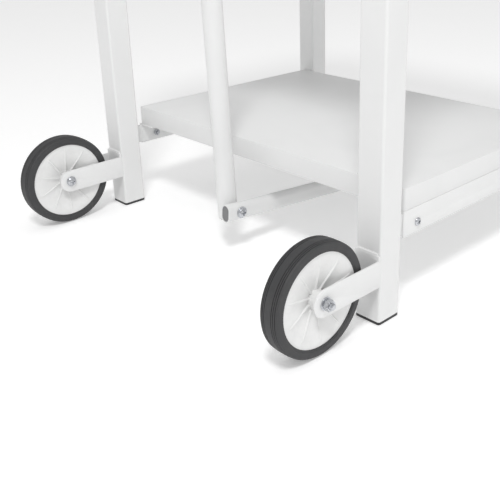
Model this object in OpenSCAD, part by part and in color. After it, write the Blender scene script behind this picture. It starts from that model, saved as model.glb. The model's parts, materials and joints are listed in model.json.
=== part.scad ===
// Rolling utility cart: a square-tube frame on two rear wheels and two front feet, with a lower
// shelf, an upper storage box and a lid that a foot pedal raises through a lever and a push rod.
// X is across the axles, Y runs from the wheel end (rear) to the handle end (front), Z is up.
// The origin is on the floor, at the middle of the whole cart's footprint.

/* [Overall] */
// Width over the legs
body_w = 621; // [480:1:760]
// Depth over the legs
body_d = 517; // [430:1:640]
// Height of the legs' top ends
leg_top = 820; // [680:1:960]

/* [Legs] */
// Side of the square leg tube
leg_size = 40; // [32:0.5:48]
// Wall of the leg tube
leg_wall = 1.5; // [1:0.1:2.5]
// Outer corner radius of the leg tube
leg_round = 3.5; // [2.6:0.1:6]
// Height of a foot cap's sole
cap_sole = 4; // [2:0.5:8]
// Length of a foot cap's plug inside the leg
cap_plug = 18; // [8:1:30]

/* [Wheels] */
// Radius of a tyre
tyre_r = 73; // [60:1:88]
// Thickness of the tyre outside its disc
tyre_wall = 13; // [9:0.5:16]
// Gap between a tyre and its fork's plates
wheel_gap = 3; // [2:0.5:6]
// Gap between the legs' rear faces and the tyres
axle_gap = 25; // [18:1:50]
// Radius of an axle bolt
axle_r = 4; // [3:0.5:5]
// Wall of a hub bush
bush_wall = 3; // [2:0.5:4]
// Number of ribs on each side of a disc
disc_ribs = 10; // [8:1:16]
// Half the disc's thickness beside the hub
disc_web = 3; // [2:0.5:5]
// Height of a fork's plates
fork_h = 36; // [28:1:44]
// Thickness of a fork's plates
fork_t = 3; // [2:0.5:3.5]
// How far a fork's back plate stands above its arms
fork_lip = 6; // [3:0.5:10]
// How far an axle bolt stands out of its nut
axle_stub = 4; // [2:0.5:5]

/* [Lower shelf] */
// Height of the shelf's top face
shelf_z = 165; // [150:1:240]
// Height of the shelf's turned-down edges
shelf_lip = 31; // [25:1:40]
// Thickness of the sheet metal
sheet = 1.5; // [1:0.1:2]
// Gap between the rear legs and the shelf
shelf_gap = 22; // [20:0.5:60]
// Distance from a leg's outer face in to the side rail
rail_inset = 12.5; // [8:0.5:16]
// Leg length of the angle section of a side rail
rail_size = 36; // [30:1:40]
// Thickness of a side rail
rail_t = 2; // [1.5:0.5:3]
// Distance from the rear legs to the rails' rear ends
rail_start = 20; // [12:1:20]
// Ledge of a side rail outside the shelf
rail_ledge = 1; // [0.5:0.5:6]
// Distance of a rail bolt from its leg
rail_bolt_out = 50; // [40:1:60]

/* [Pedal and lever] */
// Height of the lever's oval tube
lever_h = 27.5; // [24:0.5:30]
// Width of the lever's oval tube
lever_w = 18; // [15:0.5:22]
// Wall of the lever and of the push rod
tube_wall = 1.5; // [1:0.1:2]
// Distance of the lap bolt in front of the rear legs' rear faces
lap_in = 24; // [18:1:30]
// Height of the lap bolt
lap_z = 64.5; // [58:0.5:72]
// How far the lever runs past the lap bolt
lever_tail = 24.5; // [16:0.5:28]
// Distance of the fulcrum in front of the rear legs' rear faces
fulcrum_in = 270; // [240:1:300]
// Height of the fulcrum
fulcrum_z = 44.6; // [40:0.2:52]
// Height of the lever at the pedal
pedal_z = 74; // [66:1:84]
// Width of the pedal
pedal_w = 120; // [80:1:160]
// Depth of the pedal
pedal_d = 54; // [40:1:56]
// Radius of the lap bolt, the fulcrum bolt and the rod pin
pin_r = 4; // [3:0.5:4.5]

/* [Push rod] */
// Diameter of the push rod
rod_d = 30; // [24:0.5:30]
// Height of the rod pin above the hinge when the lid is half open
rod_pin_arm = 36; // [34:0.5:38]
// Angle from the hinge down to the rod pin when the lid is closed
rod_pin_dip = 32.5; // [30:0.5:35]

/* [Storage box] */
// Depth of the storage box
box_h = 180; // [100:1:260]
// Height of the top rails
top_rail_h = 30; // [25:1:40]
// Width of the top rails
top_rail_w = 20; // [15:1:24]
// Depth of the rear top rail
rear_rail_d = 15; // [12:0.5:15]

/* [Lid] */
// Height of the lid's turned-down edges
lid_lip = 26; // [15:1:35]
// Gap between the lid and what it covers
lid_gap = 2.5; // [2:0.5:4]
// Distance of the hinge behind the rear legs
hinge_out = 30; // [29:0.5:32]
// Radius of a hinge bolt
hinge_r = 4; // [3:0.5:5]

/* [Handle] */
// Diameter of the handle bar
handle_d = 25; // [20:1:30]
// Distance from the front legs to the handle bar's axis
handle_out = 45; // [40:1:60]
// Drop from the legs' top ends to the handle bar's axis
handle_drop = 75; // [60:1:140]
// Length of the handle's grip
grip_l = 380; // [200:1:430]

/* [Fits] */
// Radial clearance of a pin or an axle that turns
turn_gap = 0.06; // [0.02:0.01:0.1]
// Side gap between parts that turn against each other
side_gap = 0.5; // [0.3:0.1:1]
// Radial clearance of a screw in its hole
screw_gap = 0.2; // [0.1:0.05:0.4]

/* [Hidden] */
$fn = 48;
small = 0.01;
front_face = body_d;
front_leg = body_d - leg_size;
leg_x = body_w / 2 - leg_size / 2;
axle_out = tyre_r + axle_gap;
disc_r = tyre_r - tyre_wall;
wheel_w = leg_size - 2 * fork_t - 2 * wheel_gap;
handle_z = leg_top - handle_drop;
y_low = -axle_out - tyre_r;
handle_eye = handle_d / 2 + 4;
y_high = body_d + handle_out + handle_eye;
y_mid = -(y_low + y_high) / 2;
ends = [leg_size / 2, body_d - leg_size / 2];

shelf_y0 = leg_size + shelf_gap;
shelf_y1 = front_leg - side_gap;
shelf_x = body_w / 2 - rail_inset - rail_ledge;
rail_top = shelf_z - shelf_lip;
rail_x = body_w / 2 - rail_inset;
rail_y0 = leg_size + rail_start;
rail_y1 = front_leg - side_gap;
bracket_t = 3;
bracket_l = rail_bolt_out + 14;
rail_bolt_r = 3;
rail_bolt_z = rail_top - 0.6 * rail_size;
rail_bolt_y = [leg_size + rail_bolt_out, front_leg - rail_bolt_out];
lip_back = 15;
lip_screw_r = 2.5;
lip_screw_x = rail_x - rail_t - bracket_t - 7;
lip_screw_y = [shelf_y0 + 60, shelf_y1 - 60];

axle_z = tyre_r;
tyre_bevel = 2;
axle_nut_l = 8;
hub_r = axle_r + turn_gap + bush_wall + 6;
fork_inner = leg_size - 2 * fork_t;
nut_af = 3.25 * axle_r;
washer_t = 1.5;
hub_l = leg_size - 2 * fork_t - 2 * washer_t - 2 * side_gap;

rod_x = -(rod_d + side_gap) / 2 + 1.75;
lever_x = rod_x + rod_d / 2 + side_gap + lever_w / 2;
bend_in = fulcrum_in + 34;
pedal_y = body_d + handle_out + handle_d / 2 - pedal_d / 2 - 2;
lever_end = pedal_y;
lever_slope = atan2(fulcrum_z - lap_z, fulcrum_in - lap_in);
bend_z = fulcrum_z + (bend_in - fulcrum_in) * tan(lever_slope);
toe_slope = atan2(pedal_z - bend_z, lever_end - bend_in);
hanger_t = 3;
hanger_gap = 1;
hanger_half = lever_w / 2 + hanger_gap;
stiff_d = 46;
stiff_h = 20;
stiff_z = shelf_z - sheet - stiff_h;
hanger_screw_x = hanger_half + hanger_t + 12;
pedal_top = pedal_z + lever_h / 2;
pedal_t = 3;
plug_in = 0.6;
plug_l = 12;

hinge_z = leg_top;
rim_z = leg_top + sheet;
lid_z = rim_z + lid_gap;
pin_y = -hinge_out + rod_pin_arm * cos(rod_pin_dip);
pin_z = hinge_z - rod_pin_arm * sin(rod_pin_dip);
rod_lean = atan2(lap_in - pin_y, pin_z - lap_z);
rod_l = norm([lap_in - pin_y, pin_z - lap_z]);
rod_tail = 16;
rod_head = 7;
lap_washer_t = 1.6;
lap_nut_l = 6.5;
lap_nut_af = 3.25 * pin_r;
lap_nut_r = lap_nut_af / sqrt(3);
lap_nut_face = sqrt(pow(rod_d / 2 - tube_wall, 2) - pow(lap_nut_r, 2)) - side_gap;
lap_nut_x = rod_x + lap_nut_face - lap_nut_l / 2;
lap_stub = 2;
rod_plug_l = rod_tail - lap_nut_r - 1;
rear_rail_y = leg_size - rear_rail_d / 2;
box_x = body_w / 2 - leg_size / 2 - top_rail_w / 2 - 1;
box_y0 = leg_size + 1;
box_y1 = front_leg - 1;
notch_w = rod_d + 42;
notch_d = leg_size - rear_rail_d - 1;
box_screw_r = 2.5;
box_screws_at = [for (s = [-1, 1]) for (y = [box_y0 + 70, box_y1 - 70]) [s * leg_x, y]];
plate_t = 4;
plate_x = body_w / 2 - leg_size;
hinge_eye = hinge_r + 6;
lid_rear = -14;
lid_x = body_w / 2 + lid_gap - 0.5;
lid_front = body_d + lid_gap - 0.5;
crank_t = 3;
crank_x = rod_d / 2 + 1;
slot_in = rod_pin_arm - 7.6;
slot_out = rod_pin_arm + 1.6;
slot_gap = 1.4;

handle_y = body_d + handle_out;
handle_arm_t = 4;
handle_arm_x = leg_x;
handle_bolt_r = 3;
handle_bolt_x = leg_size / 4;
handle_half = handle_arm_x + leg_size / 2 - 4;

// Shapes used by several sub-parts

module placed() {
    translate([0, y_mid, 0]) children();
}

module rounded(w, d, r) {
    square([w - 2 * r, d], center = true);
    square([w, d - 2 * r], center = true);
    for (x = [-1, 1]) for (y = [-1, 1]) {
        translate([x * (w / 2 - r), y * (d / 2 - r)]) circle(r);
    }
}

module slab(w, d, h, r) {
    linear_extrude(h) rounded(w, d, r);
}

module disc_x(r, l) {
    rotate([0, 90, 0]) cylinder(r = r, h = l, center = true);
}

module hex_x(af, l) {
    rotate([0, 90, 0]) cylinder(d = af / cos(30), h = l, center = true, $fn = 6);
}

// A flat profile drawn in Y and Z, made into a plate that is t thick and centred on X
module plate_yz(t) {
    rotate([90, 0, 90]) linear_extrude(t, center = true) children();
}

module strip(a, b, r) {
    l = norm(b - a);
    translate(a) rotate(atan2(b[1] - a[1], b[0] - a[0])) {
        translate([0, -r]) square([l, 2 * r]);
        circle(r);
        translate([l, 0]) circle(r);
    }
}

module cross_recess(size, deep) {
    for (a = [0, 90]) rotate(a) translate([0, 0, -deep / 2]) {
        cube([size, size / 4.5, deep + small], center = true);
    }
}

// Screw along +Z with its head's seat at z = 0
module pan_screw(r, l) {
    difference() {
        union() {
            translate([0, 0, -l]) cylinder(r = r, h = l);
            cylinder(r = 1.9 * r, h = 0.5 * r);
            translate([0, 0, 0.5 * r]) cylinder(r1 = 1.9 * r, r2 = 1.45 * r, h = 0.45 * r);
        }
        translate([0, 0, 0.95 * r]) cross_recess(2 * r, 0.8 * r);
    }
}

module ring_x(r_out, r_in, l) {
    difference() {
        disc_x(r_out, l);
        disc_x(r_in, l + 1);
    }
}

// Legs and feet

module leg(side, y, foot) {
    placed() translate([side * leg_x, y, foot]) difference() {
        slab(leg_size, leg_size, leg_top - foot, leg_round);
        translate([0, 0, -1]) {
            slab(leg_size - 2 * leg_wall, leg_size - 2 * leg_wall, leg_top + 2, leg_round - leg_wall);
        }
    }
}

module leg_rear_left() {
    color("gainsboro") leg(-1, ends[0], cap_sole);
}

module leg_rear_right() {
    color("gainsboro") leg(1, ends[0], cap_sole);
}

module leg_front(side) {
    difference() {
        leg(side, ends[1], cap_sole);
        placed() for (x = [-1, 1]) {
            translate([side * leg_x + x * handle_bolt_x, front_face - leg_wall / 2, handle_z])
                    rotate([90, 0, 0]) {
                cylinder(r = handle_bolt_r + screw_gap, h = 3 * leg_wall, center = true);
            }
        }
    }
}

module leg_front_left() {
    color("gainsboro") leg_front(-1);
}

module leg_front_right() {
    color("gainsboro") leg_front(1);
}

module foot_caps() {
    inner = leg_size - 2 * leg_wall;
    color("dimgray") placed() for (s = [-1, 1]) for (y = ends) translate([s * leg_x, y, 0]) {
        slab(leg_size, leg_size, cap_sole, leg_round);
        translate([0, 0, cap_sole]) difference() {
            slab(inner - 0.2, inner - 0.2, cap_plug, leg_round - leg_wall);
            slab(inner - 6, inner - 6, cap_plug + 1, 1);
        }
    }
}

// Wheel forks: a U of flat plate on each rear leg

module fork(side) {
    placed() translate([side * leg_x, 0, axle_z]) difference() {
        union() {
            for (s = [-1, 1]) translate([s * (leg_size - fork_t) / 2, 0, 0]) plate_yz(fork_t) {
                translate([-axle_out, -fork_h / 2]) square([axle_out, fork_h]);
                translate([-axle_out, 0]) circle(fork_h / 2);
            }
            translate([0, -fork_t / 2, fork_lip / 2]) cube([leg_size, fork_t, fork_h + fork_lip],
                    center = true);
            translate([0, -fork_t / 2, fork_h / 2 + fork_lip]) disc_x(fork_t / 2, leg_size);
        }
        translate([0, -axle_out, 0]) disc_x(axle_r + screw_gap, leg_size + 2);
    }
}

module fork_left() {
    color("white") fork(-1);
}

module fork_right() {
    color("white") fork(1);
}

// Wheels

// Its +X points outboard on both sides
module at_axle(side) {
    placed() translate([side * leg_x, -axle_out, axle_z]) mirror([side < 0 ? 1 : 0, 0, 0]) children();
}

module wheel_disc() {
    bore = axle_r + turn_gap + bush_wall;
    rim = wheel_w / 2 - tyre_bevel;
    lip = 5;
    rib_t = 2.5;
    rib_rise = 1.5;
    rotate([0, 90, 0]) {
        rotate_extrude($fn = 96) polygon([
            [bore, -hub_l / 2], [hub_r, -hub_l / 2], [hub_r, -disc_web], [disc_r - lip, -rim + 2],
            [disc_r - lip / 2, -rim], [disc_r, -rim], [disc_r, rim], [disc_r - lip / 2, rim],
            [disc_r - lip, rim - 2], [hub_r, disc_web], [hub_r, hub_l / 2], [bore, hub_l / 2]]);
        for (i = [0 : disc_ribs - 1]) rotate(i * 360 / disc_ribs) rotate([90, 0, 0]) {
            linear_extrude(rib_t, center = true) polygon([
                [hub_r - 1, -disc_web - rib_rise], [disc_r - lip, -rim + 2 - rib_rise],
                [disc_r - lip, rim - 2 + rib_rise], [hub_r - 1, disc_web + rib_rise]]);
        }
    }
}

module tyre() {
    groove = 1.2;
    half = wheel_w / 2;
    rotate([0, 90, 0]) difference() {
        rotate_extrude($fn = 96) polygon([
            [disc_r, -half + tyre_bevel], [disc_r + tyre_bevel, -half], [tyre_r - 2, -half],
            [tyre_r, -half + 4], [tyre_r, half - 4], [tyre_r - 2, half],
            [disc_r + tyre_bevel, half], [disc_r, half - tyre_bevel]]);
        for (z = [-6, 0, 6]) translate([0, 0, z]) rotate_extrude($fn = 96) {
            translate([tyre_r - groove, -groove]) square([groove + 1, 2 * groove]);
        }
    }
}

module wheel_disc_left() {
    color("white") at_axle(-1) wheel_disc();
}

module wheel_disc_right() {
    color("white") at_axle(1) wheel_disc();
}

module tyre_left() {
    color("dimgray") at_axle(-1) tyre();
}

module tyre_right() {
    color("dimgray") at_axle(1) tyre();
}

module hub_bush() {
    ring_x(axle_r + turn_gap + bush_wall, axle_r + turn_gap, hub_l);
}

module hub_bush_left() {
    color("lightgray") at_axle(-1) hub_bush();
}

module hub_bush_right() {
    color("lightgray") at_axle(1) hub_bush();
}

module axle_bolt() {
    seat = -leg_size / 2 - washer_t;
    tip = leg_size / 2 + washer_t + axle_nut_l + axle_stub;
    translate([seat, 0, 0]) rotate([0, -90, 0]) pan_screw(axle_r, tip - seat);
}

module axle_bolt_left() {
    color("silver") at_axle(-1) axle_bolt();
}

module axle_bolt_right() {
    color("silver") at_axle(1) axle_bolt();
}

module axle_nuts() {
    mid = (leg_size + axle_nut_l) / 2 + washer_t;
    color("silver") for (s = [-1, 1]) at_axle(s) translate([mid, 0, 0]) {
        difference() {
            hex_x(nut_af, axle_nut_l);
            disc_x(axle_r + small, axle_nut_l + 1);
        }
    }
}

module axle_washers() {
    color("silver") for (s = [-1, 1]) at_axle(s) {
        for (x = [-1, 1]) translate([x * (leg_size + washer_t) / 2, 0, 0]) {
            ring_x(2.1 * axle_r, axle_r + small, washer_t);
        }
        for (x = [-1, 1]) translate([x * (fork_inner - washer_t) / 2, 0, 0]) {
            ring_x(1.9 * axle_r, axle_r + small, washer_t);
        }
    }
}

// Lower shelf, its side rails and their brackets

module leg_brackets() {
    tab_h = rail_size - rail_t - 3;
    color("white") placed() for (s = [-1, 1]) for (e = [0, 1]) {
        face = e == 0 ? leg_size : front_leg;
        dir = e == 0 ? 1 : -1;
        difference() {
            translate([s * (rail_x - rail_t - bracket_t / 2), face + dir * bracket_l / 2,
                    rail_top - rail_t - tab_h / 2]) {
                cube([bracket_t, bracket_l, tab_h], center = true);
            }
            translate([s * rail_x, rail_bolt_y[e], rail_bolt_z]) disc_x(rail_bolt_r + screw_gap, 20);
        }
    }
}

module side_rail(side) {
    l = rail_y1 - rail_y0;
    placed() difference() {
        union() {
            translate([side * (rail_x - rail_t / 2), rail_y0 + l / 2, rail_top - rail_size / 2]) {
                cube([rail_t, l, rail_size], center = true);
            }
            translate([side * (rail_x - rail_size / 2), rail_y0 + l / 2, rail_top - rail_t / 2]) {
                cube([rail_size, l, rail_t], center = true);
            }
        }
        for (y = rail_bolt_y) translate([side * rail_x, y, rail_bolt_z]) disc_x(rail_bolt_r + screw_gap, 8);
        for (y = lip_screw_y) translate([side * lip_screw_x, y, rail_top - 3]) {
            cylinder(r = lip_screw_r + screw_gap, h = 6);
        }
    }
}

module side_rail_left() {
    color("whitesmoke") side_rail(-1);
}

module side_rail_right() {
    color("whitesmoke") side_rail(1);
}

module rail_bolts() {
    color("silver") placed() for (s = [-1, 1]) for (y = rail_bolt_y) {
        translate([s * rail_x, y, rail_bolt_z]) rotate([0, 90 * s, 0]) {
            pan_screw(rail_bolt_r, rail_t + bracket_t + 8);
        }
    }
}

module rail_nuts() {
    color("silver") placed() for (s = [-1, 1]) for (y = rail_bolt_y) {
        translate([s * (rail_x - rail_t - bracket_t - 2.5), y, rail_bolt_z]) difference() {
            hex_x(3.4 * rail_bolt_r, 5);
            disc_x(rail_bolt_r + small, 6);
        }
    }
}

// A pan of sheet metal with turned-down edges, open below
module pan(w, d, h, r) {
    difference() {
        slab(w, d, h, r);
        translate([0, 0, -sheet]) slab(w - 2 * sheet, d - 2 * sheet, h, r - sheet);
    }
}

module lower_shelf() {
    w = 2 * shelf_x;
    d = shelf_y1 - shelf_y0;
    color("gainsboro") placed() translate([0, (shelf_y0 + shelf_y1) / 2, rail_top]) difference() {
        union() {
            pan(w, d, shelf_lip, 4);
            for (s = [-1, 1]) translate([s * (shelf_x - sheet - lip_back / 2 + 0.1), 0, sheet / 2]) {
                cube([lip_back + 0.2, d - 20, sheet], center = true);
            }
        }
        for (s = [-1, 1]) for (y = lip_screw_y) {
            translate([s * lip_screw_x, y - (shelf_y0 + shelf_y1) / 2, -1]) {
                cylinder(r = lip_screw_r + screw_gap, h = sheet + 2);
            }
        }
    }
}

module shelf_screws() {
    color("silver") placed() for (s = [-1, 1]) for (y = lip_screw_y) {
        translate([s * lip_screw_x, y, rail_top - rail_t]) rotate([180, 0, 0]) {
            pan_screw(lip_screw_r, 9);
        }
    }
}

module shelf_stiffener() {
    w = 2 * (shelf_x - sheet - lip_back - 4);
    color("gainsboro") placed() translate([0, fulcrum_in, stiff_z]) difference() {
        union() {
            translate([0, 0, stiff_h / 2]) cube([w, stiff_d, stiff_h], center = true);
            translate([0, 0, stiff_h - sheet / 2]) cube([w, stiff_d + 30, sheet], center = true);
        }
        translate([0, 0, stiff_h / 2 + sheet]) {
            cube([w + 2, stiff_d - 2 * sheet, stiff_h], center = true);
        }
        for (s = [-1, 1]) translate([lever_x + s * hanger_screw_x, 0, -1]) {
            cylinder(r = pin_r - 1 + screw_gap, h = 6);
        }
    }
}

// Hanger for the lever's fulcrum, below the shelf

module pedal_hanger() {
    eye = 12;
    foot_w = 2 * (hanger_screw_x + 10);
    color("whitesmoke") placed() translate([lever_x, fulcrum_in, 0]) difference() {
        union() {
            translate([0, 0, stiff_z - hanger_t / 2]) cube([foot_w, stiff_d - 6, hanger_t], center = true);
            for (s = [-1, 1]) translate([s * (hanger_half + hanger_t / 2), 0, 0]) plate_yz(hanger_t) {
                translate([0, fulcrum_z]) circle(eye);
                translate([-eye, fulcrum_z]) square([2 * eye, stiff_z - hanger_t - fulcrum_z + 0.5]);
            }
        }
        translate([0, 0, fulcrum_z]) disc_x(pin_r + screw_gap, 60);
        for (s = [-1, 1]) translate([s * hanger_screw_x, 0, stiff_z - hanger_t - 1]) {
            cylinder(r = pin_r - 1 + screw_gap, h = hanger_t + 2);
        }
    }
}

module hanger_screws() {
    r = pin_r - 1;
    color("silver") placed() for (s = [-1, 1]) {
        translate([lever_x + s * hanger_screw_x, fulcrum_in, stiff_z - hanger_t]) {
            rotate([180, 0, 0]) pan_screw(r, 12);
        }
        translate([lever_x + s * hanger_screw_x, fulcrum_in, stiff_z + sheet]) {
            difference() {
                cylinder(d = 3.4 * r / cos(30), h = 4, $fn = 6);
                translate([0, 0, -1]) cylinder(r = r + small, h = 6);
            }
        }
    }
}

module fulcrum_bolt() {
    half = hanger_half + hanger_t;
    color("silver") placed() translate([lever_x, fulcrum_in, fulcrum_z]) {
        translate([-4, 0, 0]) disc_x(pin_r, 2 * half + 8);
        translate([half + 2.5, 0, 0]) hex_x(3.4 * pin_r, 5);
    }
}

module fulcrum_nut() {
    half = hanger_half + hanger_t;
    color("silver") placed() translate([lever_x - half - 3, fulcrum_in, fulcrum_z]) difference() {
        hex_x(3.4 * pin_r, 6);
        disc_x(pin_r + small, 8);
    }
}

// Lever: an oval tube, bent upwards behind the fulcrum, with the pedal on its front end

module oval(grow) {
    r = lever_w / 2 + grow;
    s = (lever_h - lever_w) / 2;
    square([2 * r, 2 * s], center = true);
    for (k = [-1, 1]) translate([0, k * s]) circle(r);
}

module lever_run(from_y, from_z, slope, back, ahead, grow) {
    translate([lever_x, from_y, from_z]) rotate([slope, 0, 0]) rotate([90, 0, 0]) {
        translate([0, 0, -ahead]) linear_extrude(back + ahead) oval(grow);
    }
}

module lever_shape(grow, extra) {
    rear = (bend_in - lap_in) / cos(lever_slope) + lever_tail;
    ahead = (lever_end - bend_in) / cos(toe_slope);
    lever_run(bend_in, bend_z, lever_slope, rear + extra, 3, grow);
    lever_run(bend_in, bend_z, toe_slope, 3, ahead + extra, grow);
}

module pedal_lever() {
    color("whitesmoke") placed() difference() {
        lever_shape(0, 0);
        lever_shape(-tube_wall, 2);
        translate([lever_x, lap_in, lap_z]) disc_x(pin_r + small, 40);
        translate([lever_x, fulcrum_in, fulcrum_z]) disc_x(pin_r + bush_wall + small, 40);
        translate([lever_x, pedal_y, pedal_top + 20]) cube([60, pedal_d + 20, 40], center = true);
    }
}

module lever_plug() {
    color("dimgray") placed() translate([lever_x, lap_in, lap_z]) rotate([lever_slope, 0, 0]) {
        translate([0, -lever_tail + plug_in + plug_l, 0]) rotate([90, 0, 0]) {
            linear_extrude(plug_l) oval(-tube_wall - 0.1);
        }
    }
}

module lever_bush() {
    color("lightgray") placed() translate([lever_x, fulcrum_in, fulcrum_z]) {
        ring_x(pin_r + bush_wall, pin_r + turn_gap, lever_w + 2 * hanger_gap - 2 * 0.3);
    }
}

module pedal_plate() {
    color("whitesmoke") placed() translate([lever_x, pedal_y, pedal_top]) {
        slab(pedal_w, pedal_d, pedal_t, 8);
    }
}

module pedal_pad() {
    ribs = 6;
    pitch = (pedal_d - 14) / ribs;
    color("dimgray") placed() translate([lever_x, pedal_y, pedal_top + pedal_t]) {
        slab(pedal_w - 4, pedal_d - 4, 3, 6);
        for (i = [0 : ribs]) translate([0, -pedal_d / 2 + 7 + i * pitch, 3.6]) {
            cube([pedal_w - 20, 3, 1.3], center = true);
        }
    }
}

// Lap joint between the lever and the push rod

module lap_bolt() {
    seat = lever_x + lever_w / 2 + lap_washer_t;
    color("silver") placed() translate([seat, lap_in, lap_z]) {
        rotate([0, 90, 0]) pan_screw(pin_r, seat - lap_nut_x + lap_nut_l / 2 + lap_stub);
    }
}

module lap_washer() {
    at_x = lever_x + (lever_w + lap_washer_t) / 2;
    color("silver") placed() translate([at_x, lap_in, lap_z]) {
        ring_x(2.25 * pin_r, pin_r + small, lap_washer_t);
    }
}

module lap_nut() {
    color("silver") placed() translate([lap_nut_x, lap_in, lap_z]) difference() {
        hex_x(lap_nut_af, lap_nut_l);
        disc_x(pin_r + small, lap_nut_l + 1);
    }
}

// Push rod, pinned to the lever below and to the lid's crank above

module along_rod() {
    placed() translate([rod_x, lap_in, lap_z]) rotate([rod_lean, 0, 0]) children();
}

module push_rod() {
    color("whitesmoke") along_rod() difference() {
        translate([0, 0, -rod_tail]) cylinder(d = rod_d, h = rod_tail + rod_l + rod_head);
        translate([0, 0, -rod_tail - 1]) {
            cylinder(d = rod_d - 2 * tube_wall, h = rod_tail + rod_l + rod_head + 2);
        }
        translate([rod_d / 2, 0, 0]) disc_x(pin_r + turn_gap, rod_d / 2);
        translate([0, 0, rod_l]) disc_x(pin_r + small, rod_d + 2);
    }
}

module rod_plugs() {
    color("dimgray") along_rod() {
        translate([0, 0, -rod_tail - 1]) cylinder(d = rod_d - 0.6, h = 1);
        translate([0, 0, -rod_tail]) cylinder(d = rod_d - 2 * tube_wall - 0.1, h = rod_plug_l);
        translate([0, 0, rod_l + rod_head]) cylinder(d = rod_d - 0.6, h = 1);
        translate([0, 0, rod_l + rod_head - 2]) cylinder(d = rod_d - 2 * tube_wall - 0.1, h = 2);
    }
}

module rod_pin() {
    half = crank_x + crank_t + 3;
    color("silver") along_rod() translate([0, 0, rod_l]) {
        disc_x(pin_r, 2 * half);
        for (s = [-1, 1]) translate([s * (half - 1), 0, 0]) disc_x(pin_r + 2.5, 2);
    }
}

// Top frame

module top_rail_side(side) {
    l = front_leg - leg_size;
    placed() translate([side * leg_x, leg_size + l / 2, leg_top - top_rail_h]) difference() {
        translate([0, 0, top_rail_h / 2]) cube([top_rail_w, l, top_rail_h], center = true);
        translate([0, 0, top_rail_h / 2]) {
            cube([top_rail_w - 2 * leg_wall, l + 2, top_rail_h - 2 * leg_wall], center = true);
        }
        for (p = box_screws_at) translate([0, p[1] - leg_size - l / 2, top_rail_h - 5]) {
            cylinder(r = box_screw_r + screw_gap, h = 8);
        }
    }
}

module top_rail_left() {
    color("gainsboro") top_rail_side(-1);
}

module top_rail_right() {
    color("gainsboro") top_rail_side(1);
}

module cross_tube(w, d, h) {
    difference() {
        cube([w, d, h], center = true);
        cube([w + 2, d - 2 * leg_wall, h - 2 * leg_wall], center = true);
    }
}

module top_rail_front() {
    color("gainsboro") placed() translate([0, ends[1], leg_top - top_rail_h / 2]) {
        cross_tube(2 * plate_x, top_rail_w, top_rail_h);
    }
}

module top_rail_rear() {
    color("gainsboro") placed() translate([0, rear_rail_y, leg_top - top_rail_h / 2]) {
        cross_tube(2 * plate_x, rear_rail_d, top_rail_h);
    }
}

// Storage box: a tub whose rim lies on the legs and top rails

module storage_box() {
    w = 2 * box_x;
    d = box_y1 - box_y0;
    mid = (box_y0 + box_y1) / 2;
    color("gainsboro") placed() difference() {
        union() {
            translate([0, mid, leg_top - box_h]) slab(w, d, box_h + sheet / 2, 12);
            translate([0, body_d / 2, leg_top]) slab(body_w, body_d, sheet, leg_round);
        }
        translate([0, mid, leg_top - box_h + sheet]) {
            slab(w - 2 * sheet, d - 2 * sheet, box_h + 10, 12 - sheet);
        }
        translate([rod_x, notch_d / 2 - 5, leg_top]) cube([notch_w, notch_d + 10, 10], center = true);
        for (p = box_screws_at) translate([p[0], p[1], leg_top - 1]) {
            cylinder(r = box_screw_r + screw_gap, h = 4);
        }
    }
}

module box_screws() {
    head = 1.6;
    color("silver") placed() for (p = box_screws_at) translate([p[0], p[1], rim_z]) {
        translate([0, 0, -10]) cylinder(r = box_screw_r, h = 10);
        cylinder(r1 = 2 * box_screw_r, r2 = 1.2 * box_screw_r, h = head);
    }
}

module lid_bumpers() {
    color("dimgray") placed() for (s = [-1, 1]) for (y = [leg_size + 22, front_leg - 22]) {
        translate([s * leg_x, y, rim_z]) cylinder(r = 7, h = lid_gap);
    }
}

// Lid and its hinge

module hinge_plates() {
    color("whitesmoke") placed() for (s = [-1, 1]) {
        translate([s * (plate_x - plate_t / 2), 0, 0]) plate_yz(plate_t) difference() {
            union() {
                strip([-hinge_out, hinge_z], [8, hinge_z - 20], hinge_eye);
                translate([2, hinge_z - 45]) square([notch_d - 2, 32]);
            }
            translate([-hinge_out, hinge_z]) circle(hinge_r + small);
        }
    }
}

module hinge_bolts() {
    reach = 2 * plate_t + side_gap;
    color("silver") placed() for (s = [-1, 1]) {
        translate([s * (plate_x - reach / 2), -hinge_out, hinge_z]) {
            disc_x(hinge_r, reach + 6);
            translate([-s * (reach / 2 + 2), 0, 0]) disc_x(1.8 * hinge_r, 3);
            translate([s * (reach / 2 + 2.5), 0, 0]) hex_x(3.4 * hinge_r, 5);
        }
    }
}

module lid_lugs() {
    foot = lid_z - 2 - hinge_z;
    color("whitesmoke") placed() for (s = [-1, 1]) {
        translate([s * (plate_x - 1.5 * plate_t - side_gap), 0, 0]) plate_yz(plate_t) difference() {
            union() {
                translate([-hinge_out, hinge_z]) circle(hinge_eye);
                translate([-hinge_out, hinge_z - 7]) square([hinge_out - 3, 7 + foot]);
                translate([lid_rear, hinge_z - 7]) square([-lid_rear - 3, 7 + foot + 2]);
            }
            translate([-hinge_out, hinge_z]) circle(hinge_r + turn_gap);
        }
        translate([s * (plate_x - 2 * plate_t - side_gap - 9), (lid_rear + 25) / 2, lid_z - 1]) {
            cube([26, 25 - lid_rear, 2], center = true);
        }
    }
}

module lid_crank() {
    a = [-hinge_out, hinge_z];
    aim = [cos(rod_pin_dip), -sin(rod_pin_dip)];
    color("whitesmoke") placed() {
        for (s = [-1, 1]) translate([rod_x + s * (crank_x + crank_t / 2), 0, 0]) {
            plate_yz(crank_t) difference() {
                union() {
                    strip(a + slot_in * aim, a + slot_out * aim, pin_r + slot_gap + 5);
                    translate([lid_rear, pin_z + 8]) square([notch_d - 8 - lid_rear, lid_z - pin_z - 8]);
                }
                strip(a + slot_in * aim, a + slot_out * aim, pin_r + slot_gap);
            }
        }
    }
}

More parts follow.
